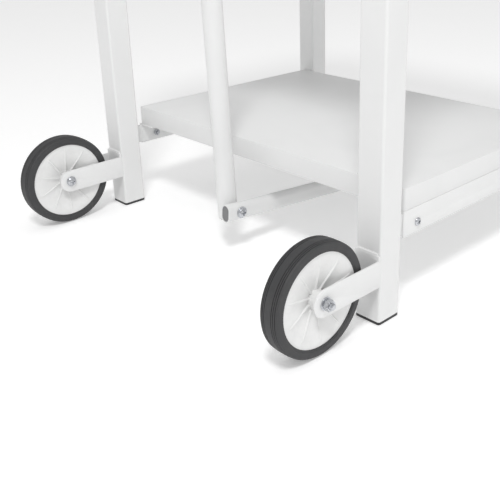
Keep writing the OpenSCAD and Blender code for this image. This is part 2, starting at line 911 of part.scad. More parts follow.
module lid() {
    w = 2 * (lid_x + sheet);
    d = lid_front + sheet - lid_rear;
    color("gainsboro") placed() translate([0, lid_rear + d / 2, lid_z - lid_lip + sheet]) difference() {
        slab(w, d, lid_lip, 8);
        translate([0, 0, -sheet]) slab(w - 2 * sheet, d - 2 * sheet, lid_lip, 8 - sheet);
        translate([0, -d / 2, lid_lip / 2 - sheet]) cube([w + 2, 18, lid_lip], center = true);
    }
}

module lid_stiffener() {
    color("gainsboro") placed() translate([0, body_d / 2, lid_z - 10]) difference() {
        translate([0, 0, 5]) cube([2 * box_x - 60, 60, 10], center = true);
        translate([0, 0, 5 + sheet]) cube([2 * box_x - 58, 60 - 2 * sheet, 10], center = true);
    }
}

// Handle

module handle_brackets() {
    color("whitesmoke") placed() for (s = [-1, 1]) translate([s * handle_arm_x, front_face, handle_z]) {
        difference() {
            union() {
                translate([0, handle_arm_t / 2, 0]) cube([leg_size - 8, handle_arm_t, 46], center = true);
                plate_yz(handle_arm_t) strip([handle_arm_t, 0], [handle_out, 0], handle_eye);
            }
            translate([0, handle_out, 0]) disc_x(handle_d / 2 + small, 60);
            for (x = [-1, 1]) translate([x * handle_bolt_x, -1, 0]) rotate([-90, 0, 0]) {
                cylinder(r = handle_bolt_r + screw_gap, h = 2 * handle_arm_t);
            }
            translate([0, -25, 0]) cube([60, 50, 80], center = true);
        }
    }
}

module handle_screws() {
    color("silver") placed() for (s = [-1, 1]) for (x = [-1, 1]) {
        translate([s * handle_arm_x + x * handle_bolt_x, front_face + handle_arm_t, handle_z]) {
            rotate([-90, 0, 0]) pan_screw(handle_bolt_r, 12);
        }
    }
}

module handle_bar() {
    color("silver") placed() translate([0, handle_y, handle_z]) {
        ring_x(handle_d / 2, handle_d / 2 - tube_wall, 2 * handle_half);
    }
}

module handle_caps() {
    cap_t = 2;
    plug_r = handle_d / 2 - tube_wall - 0.1;
    color("dimgray") placed() for (s = [-1, 1]) translate([s * handle_half, handle_y, handle_z]) {
        translate([s * cap_t / 2, 0, 0]) disc_x(handle_d / 2 - 0.2, cap_t);
        translate([-s * plug_l / 2, 0, 0]) disc_x(plug_r, plug_l);
    }
}

module handle_grip() {
    color("dimgray") placed() translate([0, handle_y, handle_z]) {
        ring_x(handle_d / 2 + 3, handle_d / 2, grip_l);
    }
}

leg_rear_left();
leg_rear_right();
leg_front_left();
leg_front_right();
foot_caps();
fork_left();
fork_right();
leg_brackets();
side_rail_left();
side_rail_right();
rail_bolts();
rail_nuts();
lower_shelf();
shelf_stiffener();
shelf_screws();
pedal_hanger();
hanger_screws();
fulcrum_bolt();
fulcrum_nut();
top_rail_left();
top_rail_right();
top_rail_front();
top_rail_rear();
storage_box();
box_screws();
lid_bumpers();
hinge_plates();
hinge_bolts();
handle_brackets();
handle_bar();
handle_caps();
handle_grip();
handle_screws();
axle_bolt_left();
axle_bolt_right();
axle_nuts();
axle_washers();
wheel_disc_left();
wheel_disc_right();
tyre_left();
tyre_right();
hub_bush_left();
hub_bush_right();
pedal_lever();
lever_plug();
lever_bush();
pedal_plate();
pedal_pad();
lap_bolt();
lap_washer();
lap_nut();
push_rod();
rod_plugs();
rod_pin();
lid();
lid_lugs();
lid_crank();
lid_stiffener();
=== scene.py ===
import json
import math

import bmesh
import bpy
from mathutils import Matrix, Vector


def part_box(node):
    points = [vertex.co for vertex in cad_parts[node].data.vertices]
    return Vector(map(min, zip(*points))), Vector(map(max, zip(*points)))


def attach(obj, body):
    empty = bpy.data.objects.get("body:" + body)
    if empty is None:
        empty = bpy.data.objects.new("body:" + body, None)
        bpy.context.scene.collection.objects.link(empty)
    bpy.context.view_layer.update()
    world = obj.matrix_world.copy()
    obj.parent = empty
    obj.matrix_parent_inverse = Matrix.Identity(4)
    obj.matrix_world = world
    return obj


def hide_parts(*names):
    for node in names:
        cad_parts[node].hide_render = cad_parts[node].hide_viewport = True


# Rolling utility cart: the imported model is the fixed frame, and the looks are built round it.

print("loading the frame")
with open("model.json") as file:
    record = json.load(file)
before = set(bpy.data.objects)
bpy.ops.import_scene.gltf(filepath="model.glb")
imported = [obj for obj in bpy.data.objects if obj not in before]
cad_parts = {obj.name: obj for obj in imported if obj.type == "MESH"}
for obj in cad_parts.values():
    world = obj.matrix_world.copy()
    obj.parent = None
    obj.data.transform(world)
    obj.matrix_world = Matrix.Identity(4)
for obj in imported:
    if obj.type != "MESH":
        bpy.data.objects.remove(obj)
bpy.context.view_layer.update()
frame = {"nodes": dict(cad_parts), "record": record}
nodes = frame["nodes"]
bodyOf = {name: body for body, names in frame["record"]["behaviour"]["bodies"].items() for name in names}
slotOf = {part["node"]: part["material_slot"] for part in frame["record"]["subparts"]}
scene = bpy.context.scene


# Nodes, for shaders and for geometry

class Field:
    # one socket whose value can be worked with as a number
    def __init__(self, graph, socket):
        self.graph = graph
        self.socket = socket

    def maths(self, operation, *values):
        return self.graph.add("ShaderNodeMath", {"operation": operation}, values)[0]

    def __add__(self, other):
        return self.maths("ADD", self, other)

    def __radd__(self, other):
        return self.maths("ADD", other, self)

    def __sub__(self, other):
        return self.maths("SUBTRACT", self, other)

    def __rsub__(self, other):
        return self.maths("SUBTRACT", other, self)

    def __mul__(self, other):
        return self.maths("MULTIPLY", self, other)

    def __rmul__(self, other):
        return self.maths("MULTIPLY", other, self)

    def __truediv__(self, other):
        return self.maths("DIVIDE", self, other)

    def __rtruediv__(self, other):
        return self.maths("DIVIDE", other, self)

    def __pow__(self, other):
        return self.maths("POWER", self, other)


class Graph:
    def __init__(self, tree):
        self.tree = tree

    # any node: its type, its settings, then its sockets' values or links
    def add(self, kind, settings=None, sockets=()):
        node = self.tree.nodes.new(kind)
        for name, value in (settings or {}).items():
            setattr(node, name, value)
        pairs = sockets.items() if isinstance(sockets, dict) else enumerate(sockets)
        for name, value in pairs:
            if isinstance(value, Field):
                self.tree.links.new(value.socket, node.inputs[name])
            else:
                node.inputs[name].default_value = value
        return [Field(self, socket) for socket in node.outputs if socket.enabled]

    def smooth(self, value, low, high):
        return self.add("ShaderNodeMapRange", {"interpolation_type": "SMOOTHSTEP"}, (value, low, high))[0]

    def blend(self, factor, first, second):
        return self.add("ShaderNodeMix", {"data_type": "RGBA"}, {0: factor, 6: first, 7: second})[0]


print("finishes")

# colours are linear; grain sizes are in metres
powderCoat = {
    "colour": (0.80, 0.802, 0.80),
    "shade": (0.755, 0.758, 0.757),
    "roughness": 0.42,
    "peelSize": 0.0011,
    "peelDepth": 0.00002,
    "cloudSize": 0.11,
    "cloudTone": 0.6,
    "cloudGloss": 0.12,
    "peelGloss": 0.06,
    "speckSize": 0.004,
    "speckTone": 0.25,
    "coat": 0.12,
    "coatRoughness": 0.3,
}
mouldedPlastic = {
    "colour": (0.80, 0.80, 0.795),
    "shade": (0.74, 0.742, 0.738),
    "roughness": 0.36,
    "flowSize": 0.018,
    "flowTone": 0.7,
    "flowGloss": 0.16,
    "index": 1.49,
    "grainSize": 0.0006,
    "grainDepth": 0.00001,
}
tyreRubber = {
    "colour": (0.043, 0.043, 0.045),
    "dust": (0.062, 0.0615, 0.061),
    "roughness": 0.62,
    "grainSize": 0.0007,
    "grainDepth": 0.00003,
    "dustSize": 0.02,
}
dusting = {
    "size": 0.012,
    "lighter": 1.35,
    "patchTone": 0.55,
    "grainTone": 0.35,
    "patchGloss": 0.18,
    "grainGloss": 0.08,
    "glossShift": 0.12,
}
darkPlastic = {"colour": (0.022, 0.022, 0.023), "roughness": 0.5, "grainSize": 0.0009, "grainDepth": 0.00003}
greyPlastic = {"colour": (0.20, 0.20, 0.205), "roughness": 0.5, "grainSize": 0.0008, "grainDepth": 0.00002}
nylonPlastic = {"colour": (0.62, 0.61, 0.57), "roughness": 0.45, "grainSize": 0.001, "grainDepth": 0.00001}
zincPlate = {
    "colour": (0.60, 0.615, 0.64),
    "shade": (0.42, 0.43, 0.46),
    "roughness": 0.24,
    "spangleSize": 0.0016,
    "scratchSize": 0.0004,
    "scratchDepth": 0.000005,
    "spangleTone": 0.35,
    "scratchTone": 0.4,
    "spangleGloss": 0.06,
    "scratchGloss": 0.12,
    "glossShift": 0.08,
    "metal": 0.95,
}


def newMaterial(name):
    material = bpy.data.materials.new(name)
    material.use_nodes = True
    material.node_tree.nodes.clear()
    graph = Graph(material.node_tree)
    where = graph.add("ShaderNodeTexCoord")[3]
    return material, graph, where


def noiseAt(graph, where, size, detail=3.0, distortion=0.0):
    sockets = {"Vector": where, "Scale": 1 / size, "Detail": detail, "Distortion": distortion}
    return graph.add("ShaderNodeTexNoise", {"noise_dimensions": "3D"}, sockets)[0]


def finishMaterial(graph, values, colour, roughness, height, depth):
    normal = graph.add("ShaderNodeBump", {}, {"Strength": 1.0, "Distance": depth, "Height": height})[0]
    sockets = {"Base Color": colour, "Roughness": roughness, "Normal": normal, **values}
    shader = graph.add("ShaderNodeBsdfPrincipled", {}, sockets)[0]
    graph.add("ShaderNodeOutputMaterial", {}, {"Surface": shader})


def rgb(colour):
    return (*colour, 1.0)


# Powder coat on steel: fine orange peel, slow changes of thickness, and a few rubbed places
def makePowderCoat(name, values):
    material, graph, where = newMaterial(name)
    clouds = noiseAt(graph, where, values["cloudSize"], 4.0, 0.6)
    peel = noiseAt(graph, where, values["peelSize"], 2.0)
    specks = graph.smooth(noiseAt(graph, where, values["speckSize"], 5.0, 1.2), 0.68, 0.78)
    mask = graph.smooth(clouds, 0.35, 0.75) * values["cloudTone"] + specks * values["speckTone"]
    colour = graph.blend(mask, rgb(values["colour"]), rgb(values["shade"]))
    middle = (values["cloudGloss"] + values["peelGloss"]) / 2
    gloss = clouds * values["cloudGloss"] + peel * values["peelGloss"]
    coat = {"Coat Weight": values["coat"], "Coat Roughness": values["coatRoughness"]}
    finishMaterial(graph, coat, colour, gloss + values["roughness"] - middle, peel, values["peelDepth"])
    return material


# Moulded plastic: flow marks and a fine even grain
def makeMoulded(name, values):
    material, graph, where = newMaterial(name)
    flow = noiseAt(graph, where, values["flowSize"], 3.0, 1.5)
    grain = noiseAt(graph, where, values["grainSize"], 2.0)
    mask = graph.smooth(flow, 0.3, 0.8) * values["flowTone"]
    colour = graph.blend(mask, rgb(values["colour"]), rgb(values["shade"]))
    roughness = flow * values["flowGloss"] + values["roughness"] - values["flowGloss"] / 2
    finishMaterial(graph, {"IOR": values["index"]}, colour, roughness, grain, values["grainDepth"])
    return material


# Plain dark or coloured plastic and rubber: grain, and a little dust in patches
def makeGrained(name, values):
    material, graph, where = newMaterial(name)
    grain = noiseAt(graph, where, values["grainSize"], 3.0)
    patches = noiseAt(graph, where, values.get("dustSize", dusting["size"]), 4.0, 0.5)
    dusty = values.get("dust", tuple(dusting["lighter"] * c for c in values["colour"]))
    patchy = graph.smooth(patches, 0.45, 0.72) * dusting["patchTone"]
    mask = patchy + graph.smooth(grain, 0.55, 0.8) * dusting["grainTone"]
    colour = graph.blend(mask, rgb(values["colour"]), rgb(dusty))
    gloss = patches * dusting["patchGloss"] + grain * dusting["grainGloss"]
    roughness = gloss + values["roughness"] - dusting["glossShift"]
    finishMaterial(graph, {}, colour, roughness, grain, values["grainDepth"])
    return material


# Zinc plate: crystals that differ a little in tone, and fine scratches from the tumbling
def makeZinc(name, values):
    material, graph, where = newMaterial(name)
    cells = graph.add("ShaderNodeTexVoronoi", {"feature": "F1"}, {
        "Vector": where, "Scale": 1 / values["spangleSize"]})
    tone = graph.add("ShaderNodeSeparateColor", {}, [cells[1]])[0]
    scratches = noiseAt(graph, where, values["scratchSize"], 4.0, 2.0)
    mask = tone * values["spangleTone"] + scratches * values["scratchTone"]
    colour = graph.blend(mask, rgb(values["colour"]), rgb(values["shade"]))
    gloss = tone * values["spangleGloss"] + scratches * values["scratchGloss"]
    roughness = gloss + values["roughness"] - values["glossShift"]
    finishMaterial(graph, {"Metallic": values["metal"]}, colour, roughness, scratches, values["scratchDepth"])
    return material


materials = {
    "white_tube_paint": makePowderCoat("tubePaint", powderCoat),
    "white_sheet_paint": makePowderCoat("sheetPaint", {**powderCoat, "peelSize": 0.0014, "cloudSize": 0.16}),
    "white_plastic": makeMoulded("wheelPlastic", mouldedPlastic),
    "tyre_rubber": makeGrained("tyreRubber", tyreRubber),
    "black_plastic": makeGrained("footCapPlastic", darkPlastic),
    "grey_plastic": makeGrained("plugPlastic", greyPlastic),
    "grey_rubber": makeGrained("padRubber", {**tyreRubber, "colour": (0.06, 0.06, 0.063), "dustSize": 0.012}),
    "nylon": makeGrained("bushNylon", nylonPlastic),
    "zinc": makeZinc("zincPlate", zincPlate),
}
for name, thing in nodes.items():
    thing.data.materials.clear()
    thing.data.materials.append(materials[slotOf[name]])


# Mesh helpers

meshing = {
    "merge": 1e-6,  # vertices closer than this are one
    "flatAngle": 0.5,  # degrees between faces that count as one flat face
    "rollSegments": 2,
    "rollAngle": 40,  # degrees from which an edge is rolled over
    "rolledSmooth": 50,
}


def asPiece(name, mesh, body, slot, *replaced):
    piece = bpy.data.objects.new(name, mesh)
    scene.collection.objects.link(piece)
    mesh.materials.clear()
    mesh.materials.append(materials[slot])
    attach(piece, body)
    if replaced:
        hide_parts(*replaced)
    return piece


def shadeByAngle(mesh, degrees=35):
    mesh.shade_smooth()
    mesh.set_sharp_from_angle(angle=math.radians(degrees))


def evaluatedMesh(thing):
    graph = bpy.context.evaluated_depsgraph_get()
    return bpy.data.meshes.new_from_object(thing.evaluated_get(graph))


# A merged copy of a CAD node, with flat faces whole again
def cleanCopy(node):
    mesh = bmesh.new()
    mesh.from_mesh(nodes[node].data)
    bmesh.ops.remove_doubles(mesh, verts=mesh.verts, dist=meshing["merge"])
    flat = math.radians(meshing["flatAngle"])
    bmesh.ops.dissolve_limit(mesh, angle_limit=flat, verts=mesh.verts, edges=mesh.edges)
    return mesh


# The same shape as a CAD node, with its sharp edges rolled over as sheet, plate and tube have them
def softened(node, width):
    mesh = bpy.data.meshes.new(node + "Soft")
    copy = cleanCopy(node)
    copy.to_mesh(mesh)
    copy.free()
    thing = bpy.data.objects.new(node + "Soft", mesh)
    scene.collection.objects.link(thing)
    roll = thing.modifiers.new("roll", "BEVEL")
    roll.width = width
    roll.segments = meshing["rollSegments"]
    roll.limit_method = "ANGLE"
    roll.angle_limit = math.radians(meshing["rollAngle"])
    roll.use_clamp_overlap = True
    roll.harden_normals = False
    made = evaluatedMesh(thing)
    made.name = node + "Rolled"
    bpy.data.objects.remove(thing)
    shadeByAngle(made, meshing["rolledSmooth"])
    return asPiece(node + "Finish", made, bodyOf[node], slotOf[node], node)


# Boxes of the separate solids in one CAD node
def solidBoxes(node):
    mesh = bmesh.new()
    mesh.from_mesh(nodes[node].data)
    bmesh.ops.remove_doubles(mesh, verts=mesh.verts, dist=meshing["merge"])
    mesh.verts.ensure_lookup_table()
    seen = set()
    boxes = []
    for start in mesh.verts:
        if start.index in seen:
            continue
        seen.add(start.index)
        found = [start]
        for vert in found:
            for edge in vert.link_edges:
                other = edge.other_vert(vert)
                if other.index not in seen:
                    seen.add(other.index)
                    found.append(other)
        low = Vector([min(v.co[i] for v in found) for i in range(3)])
        high = Vector([max(v.co[i] for v in found) for i in range(3)])
        boxes.append((low, high))
    mesh.free()
    return sorted(boxes, key=lambda pair: tuple(round(c, 5) for c in pair[0]))


# A closed or open outline of (distance along the axis, radius) turned about the x axis
def lathe(name, outline, steps, closed=True):
    mesh = bmesh.new()
    rings = []
    for along, radius in outline:
        if radius == 0:
            rings.append([mesh.verts.new((along, 0, 0))] * steps)
            continue
        turns = [2 * math.pi * i / steps for i in range(steps)]
        rings.append([mesh.verts.new((along, radius * math.cos(t), radius * math.sin(t))) for t in turns])
    pairs = list(zip(rings, rings[1:])) + ([(rings[-1], rings[0])] if closed else [])
    for first, second in pairs:
        for i in range(steps):
            corners = [first[i], first[(i + 1) % steps], second[(i + 1) % steps], second[i]]
            corners = list(dict.fromkeys(corners))
            if len(corners) > 2:
                mesh.faces.new(corners)
    bmesh.ops.recalc_face_normals(mesh, faces=mesh.faces)
    made = bpy.data.meshes.new(name)
    mesh.to_mesh(made)
    mesh.free()
    return made


# A piece grown by a geometry tree with named inputs, which build() draws, and kept as a plain mesh
def grow(name, base, inputs, build, values, body, slot, replaced=(), smooth=35):
    tree = bpy.data.node_groups.new(name, "GeometryNodeTree")
    tree.interface.new_socket("Geometry", in_out="INPUT", socket_type="NodeSocketGeometry")
    for label, kind in inputs.items():
        tree.interface.new_socket(label, in_out="INPUT", socket_type=kind)
    tree.interface.new_socket("Geometry", in_out="OUTPUT", socket_type="NodeSocketGeometry")
    graph = Graph(tree)
    given = graph.add("NodeGroupInput")
    byName = dict(zip(["Geometry", *inputs], given))
    shape = build(graph, byName)
    whole = graph.add("GeometryNodeRealizeInstances", {}, [shape])[0]
    painted = graph.add("GeometryNodeSetMaterial", {}, {"Geometry": whole, "Material": materials[slot]})[0]
    graph.add("NodeGroupOutput", {}, [painted])
    holder = bpy.data.objects.new(name + "Base", base)
    scene.collection.objects.link(holder)
    modifier = holder.modifiers.new(name, "NODES")
    modifier.node_group = tree
    items = tree.interface.items_tree
    sockets = {item.name: item.identifier for item in items if item.in_out == "INPUT"}
    for label, value in values.items():
        modifier[sockets[label]] = value
    made = evaluatedMesh(holder)
    made.name = name
    holder.modifiers.remove(modifier)
    bpy.data.objects.remove(holder)
    shadeByAngle(made, smooth)
    return asPiece(name, made, body, slot, *replaced)


# Loose points, each with the direction that it faces
def pointMesh(name, points, facings):
    mesh = bpy.data.meshes.new(name)
    mesh.from_pydata([tuple(p) for p in points], [], [])
    facing = mesh.attributes.new("facing", "FLOAT_VECTOR", "POINT")
    facing.data.foreach_set("vector", [c for f in facings for c in f])
    return mesh


print("tyres")

tyre = {
    "treadGroove": 0.0011,  # depth of the fine grooves
    "grooveHalf": 0.0005,
    "grooves": (0.0058, 0.0085, 0.0112),  # from the middle of the tread
    "floorShare": 0.6,  # a groove's floor as a share of its mouth
    "crownDrop": 0.0011,
    # the side wall's corners: in from the side, then out from the disc or in from the tread
    "nearDisc": ((0.0022, 0.0), (0.0006, 0.0008), (0.0006, 0.002), (0.0, 0.0028)),
    "nearTread": ((0.0, 0.0032), (0.0004, 0.0022), (0.0013, 0.0017)),
    "steps": 128,
    "smooth": 28,
}


# Flat side walls, sharp shoulders and a tread with fine grooves beside them
def tyreOutline(half, inner, outer):
    groove = tyre["treadGroove"]
    gap = tyre["grooveHalf"]
    crown = []
    for centre in sorted({s * g for g in tyre["grooves"] for s in (-1, 1)}):
        crown += [(centre - gap, outer), (centre - gap * tyre["floorShare"], outer - groove),
                  (centre + gap * tyre["floorShare"], outer - groove), (centre + gap, outer)]
    crown = [(x, r - tyre["crownDrop"] * (x / half) ** 2) for x, r in crown]
    side = [(half - x, inner + r) for x, r in tyre["nearDisc"]]
    side += [(half - x, outer - r) for x, r in tyre["nearTread"]]
    left = [(-x, r) for x, r in side]
    return left + crown + side[::-1]


def turnedAt(mesh, centre):
    mesh.transform(Matrix.Translation(centre))
    mesh.update()
    return mesh


wheels = {}
for side in ("left", "right"):
    low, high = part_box("tyre_" + side)
    discLow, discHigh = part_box("wheel_disc_" + side)
    centre = (low + high) / 2
    wheels[side] = {
        "centre": centre,
        "half": (high.x - low.x) / 2,
        "outer": (high.z - low.z) / 2,
        "discR": (discHigh.z - discLow.z) / 2,
        "hubHalf": (discHigh.x - discLow.x) / 2,
        "sign": 1 if centre.x > 0 else -1,
    }
    wheel = wheels[side]
    outline = tyreOutline(wheel["half"], wheel["discR"], wheel["outer"])
    mesh = turnedAt(lathe(side + "Tyre", outline, tyre["steps"]), centre)
    shadeByAngle(mesh, tyre["smooth"])
    asPiece(side + "Tyre", mesh, side + "_wheel", "tyre_rubber", "tyre_" + side)


print("wheel discs")

disc = {
    "ribs": 10,
    "ribRise": 0.0019,
    "ribHalf": 0.0011,
    "belly": 0.0006,  # how far the web sinks between two ribs
    "hubR": 0.0125,
    "web": 0.0026,  # half thickness beside the hub
    "rimFlat": 0.0026,
    "rimIn": 0.0022,  # from the tyre's side in to the rim
    "ribFoot": 1.5,  # a rib's foot and top, as shares of its half width
    "ribTop": 0.55,
    "ribTaper": 0.55,
    "fade": (0.95, 0.84),  # where the ribs run out, from hub 0 to rim 1
    "dish": (-0.35, 0.97),
    "dishPower": 1.2,
    "split": 0.03,  # a radius between the hub and the rim
    "hubFace": ((0.001, 0.0008), (0.0, 0.0018)),  # in from the hub's end, in from its radius
    "boreR": 0.0071,
    "turns": 720,
    "rings": 18,
    "smooth": 24,
}


# One face of the disc as a grid bent round the axle: it dishes from the rim to the hub, with ribs
def discTree(graph, given):
    grid = graph.add("GeometryNodeMeshGrid", {}, {
        "Size X": 1.0, "Size Y": 1.0, "Vertices X": given["Rings"], "Vertices Y": given["Turns"]})[0]
    place = graph.add("GeometryNodeInputPosition")[0]
    x, y, z = graph.add("ShaderNodeSeparateXYZ", {}, [place])
    share = x + 0.5
    angle = (y + 0.5) * (2 * math.pi)
    radius = given["Hub Radius"] + share * (given["Rim Radius"] - given["Hub Radius"])
    phase = (y + 0.5) * given["Ribs"]
    saw = phase.maths("FRACT", phase)
    aside = saw.maths("ABSOLUTE", saw - 0.5)
    arc = aside * radius * (2 * math.pi) / given["Ribs"]
    crest = graph.smooth(arc, given["Rib Half"] * disc["ribFoot"], given["Rib Half"] * disc["ribTop"])
    inside = graph.smooth(share, *disc["fade"])
    slope = graph.smooth(share, *disc["dish"]) ** disc["dishPower"]
    dish = given["Web"] + (given["Rim"] - given["Web"]) * slope
    sag = graph.smooth(aside, 0.0, 0.5) * given["Belly"]
    out = dish + (crest * given["Rib Rise"] * (1.0 - share * disc["ribTaper"]) - sag) * inside
    bent = graph.add("ShaderNodeCombineXYZ", {}, [
        out * given["Side"], radius * angle.maths("COSINE", angle), radius * angle.maths("SINE", angle)])[0]
    moved = graph.add("GeometryNodeSetPosition", {}, {"Geometry": grid, "Position": bent})[0]
    return graph.add("GeometryNodeMergeByDistance", {}, {
        "Geometry": moved, "Distance": meshing["merge"]})[0]


# The two ribbed faces, the hub and the rim joined into one closed shell
def makeDisc(side):
    wheel = wheels[side]
    faces = []
    for sign in (-1.0, 1.0):
        name = side + "DiscFace" + ("Out" if sign > 0 else "In")
        face = grow(name, bpy.data.meshes.new(name + "Base"), {
            "Rings": "NodeSocketInt", "Turns": "NodeSocketInt", "Hub Radius": "NodeSocketFloat",
            "Rim Radius": "NodeSocketFloat", "Web": "NodeSocketFloat", "Rim": "NodeSocketFloat",
            "Ribs": "NodeSocketFloat", "Rib Rise": "NodeSocketFloat", "Rib Half": "NodeSocketFloat",
            "Belly": "NodeSocketFloat", "Side": "NodeSocketFloat",
        }, discTree, {
            "Rings": disc["rings"], "Turns": disc["turns"] + 1, "Hub Radius": disc["hubR"],
            "Rim Radius": wheel["discR"] - disc["rimFlat"], "Web": disc["web"],
            "Rim": wheel["half"] - disc["rimIn"], "Ribs": float(disc["ribs"]), "Rib Rise": disc["ribRise"],
            "Rib Half": disc["ribHalf"], "Belly": disc["belly"], "Side": sign,
        }, side + "_wheel", "white_plastic")
        faces.append(face)
    mesh = bmesh.new()
    for face in faces:
        mesh.from_mesh(face.data)
        bpy.data.objects.remove(face)
    bmesh.ops.remove_doubles(mesh, verts=mesh.verts, dist=meshing["merge"])
    edgeLoops = {"hub": [], "rim": []}
    for edge in mesh.edges:
        if edge.is_boundary:
            radius = Vector(edge.verts[0].co[1:]).length
            edgeLoops["hub" if radius < disc["split"] else "rim"].append(edge)
    half = wheel["half"]
    # the rim runs on flat to the tyre, and the hub stands out to the washers
    hubSteps = [(wheel["hubHalf"] - x, disc["hubR"] - r) for x, r in disc["hubFace"]]
    hubSteps.append((wheel["hubHalf"], disc["boreR"]))
    for key, steps in (("rim", [(half - disc["rimIn"], wheel["discR"])]), ("hub", hubSteps)):
        for sign in (-1, 1):
            ring = [e for e in edgeLoops[key] if e.verts[0].co.x * sign > 0]
            for along, radius in steps:
                grown = bmesh.ops.extrude_edge_only(mesh, edges=ring)["geom"]
                for vert in [g for g in grown if isinstance(g, bmesh.types.BMVert)]:
                    turn = Vector(vert.co[1:]).normalized()
                    vert.co = (along * sign, turn.x * radius, turn.y * radius)
                ring = [g for g in grown if isinstance(g, bmesh.types.BMEdge)]
    outer = [e for e in mesh.edges if e.is_boundary and Vector(e.verts[0].co[1:]).length > disc["split"]]
    bmesh.ops.bridge_loops(mesh, edges=outer)
    bmesh.ops.bridge_loops(mesh, edges=[e for e in mesh.edges if e.is_boundary])
    bmesh.ops.remove_doubles(mesh, verts=mesh.verts, dist=meshing["merge"])
    bmesh.ops.recalc_face_normals(mesh, faces=mesh.faces)
    made = bpy.data.meshes.new(side + "Disc")
    mesh.to_mesh(made)
    mesh.free()
    turnedAt(made, wheel["centre"])
    shadeByAngle(made, disc["smooth"])
    return asPiece(side + "Disc", made, side + "_wheel", "white_plastic", "wheel_disc_" + side)


for side in ("left", "right"):
    makeDisc(side)


print("axle bolts and nuts")

axleFit = {
    "shankR": 0.004,
    "pitch": 0.00125,
    "threadDepth": 0.0005,
    "threadLength": 0.018,
    "tip": 0.001,  # the shank's end is turned off by this
    "headR": 0.0076,
    "stub": 0.001,  # plain shank under the head
    "headDepth": 0.95,  # where the shank starts, as a share of its radius
    "steps": 48,
    "smooth": 32,
}
nutShape = {
    "chamfer": 0.09,  # of the width across flats
    "face": 0.98,  # the end faces' radius as a share of the flats' half
    "countersink": 0.0007,
    "count": 48,
    "smooth": 30,
}


# A six-sided nut along x from 0 to length, its corners turned off at both ends
def nutMesh(name, flats, length, bore):
    mesh = bmesh.new()
    corner = flats / 2 / math.cos(math.pi / 6)
    chamfer = nutShape["chamfer"] * flats
    face = flats / 2 * nutShape["face"]
    sink = nutShape["countersink"]
    count = nutShape["count"]
    turns = [2 * math.pi * i / count for i in range(count)]
    rings = []
    for along, limit in ((0, face), (chamfer, corner), (length - chamfer, corner), (length, face)):
        ring = []
        for turn in turns:
            inSide = (turn % (math.pi / 3)) - math.pi / 6
            reach = min(flats / 2 / math.cos(inSide), limit)
            ring.append(mesh.verts.new((along, reach * math.cos(turn), reach * math.sin(turn))))
        rings.append(ring)
    for along, radius in ((length, bore + sink), (length - sink, bore), (sink, bore), (0, bore + sink)):
        rings.append([mesh.verts.new((along, radius * math.cos(t), radius * math.sin(t))) for t in turns])
    for first, second in zip(rings, rings[1:] + rings[:1]):
        for i in range(count):
            mesh.faces.new((first[i], first[(i + 1) % count], second[(i + 1) % count], second[i]))
    bmesh.ops.recalc_face_normals(mesh, faces=mesh.faces)
    made = bpy.data.meshes.new(name)
    mesh.to_mesh(made)
    mesh.free()
    return made


# A round shank along x with threads over its end, as rings
def threadedOutline(start, end, radius, threadFrom, pitch, depth):
    outline = [(start, radius)]
    along = threadFrom
    tip = axleFit["tip"]
    while along + pitch < end - tip:
        outline += [(along, radius), (along + pitch * 0.5, radius - depth)]
        along += pitch
    return outline + [(end - tip, radius), (end, radius - tip), (end, 0)]


# shares of the head's radius, but for the two counts and the shank's turned-off tip
panHead = {
    "wall": 0.15,
    "dome": 0.45,
    "height": 0.6,
    "crown": 0.35,
    "crossSize": (1.15, 0.26, 0.62),
    "crossLift": 0.62,
    "rings": 6,
    "steps": 40,
    "tip": 0.0004,
}


# A pan head with a cross recess, its seat at the origin and its crown along +z
def panHeadMesh(name, radius, shankR, shankL):
    wall, dome, crown, tip = (panHead[key] for key in ("wall", "dome", "crown", "tip"))
    head = [(0, shankR), (0, radius), (wall * radius, radius)]
    for i in range(1, panHead["rings"] + 1):
        turn = i / panHead["rings"] * math.pi / 2
        head.append((wall * radius + dome * radius * math.sin(turn),
                     radius * (crown + (1 - crown) * math.cos(turn))))
    head.append((panHead["height"] * radius, 0))
    outline = [(-shankL, 0), (-shankL, shankR - tip), (-shankL + tip, shankR)] + head
    body = lathe(name, outline, panHead["steps"], closed=False)
    body.transform(Matrix.Rotation(-math.pi / 2, 4, "Y"))
    thing = bpy.data.objects.new(name, body)
    scene.collection.objects.link(thing)
    cutter = bmesh.new()
    lifted = Matrix.Translation((0, 0, panHead["crossLift"] * radius))
    sized = Matrix.Diagonal((*(share * radius for share in panHead["crossSize"]), 1))
    for turn in (0, math.pi / 2):
        bmesh.ops.create_cube(cutter, size=1.0, matrix=Matrix.Rotation(turn, 4, "Z") @ lifted @ sized)
    recess = bpy.data.meshes.new(name + "Recess")
    cutter.to_mesh(recess)
    cutter.free()
    tool = bpy.data.objects.new(name + "Recess", recess)
    scene.collection.objects.link(tool)
    cut = thing.modifiers.new("recess", "BOOLEAN")
    cut.operation = "DIFFERENCE"
    cut.object = tool
    cut.use_self = True
    made = evaluatedMesh(thing)
    bpy.data.objects.remove(thing)
    bpy.data.objects.remove(tool)
    return made


# Meshes put together in one, as they are
def joined(name, meshes):
    whole = bmesh.new()
    for mesh in meshes:
        whole.from_mesh(mesh)
    made = bpy.data.meshes.new(name)
    whole.to_mesh(made)
    whole.free()
    return made


# A mesh made along x, turned to a direction and moved to a place
def aimed(mesh, direction, place):
    turn = Vector((1, 0, 0)).rotation_difference(Vector(direction))
    mesh.transform(Matrix.Translation(place) @ turn.to_matrix().to_4x4())
    mesh.update()
    return mesh


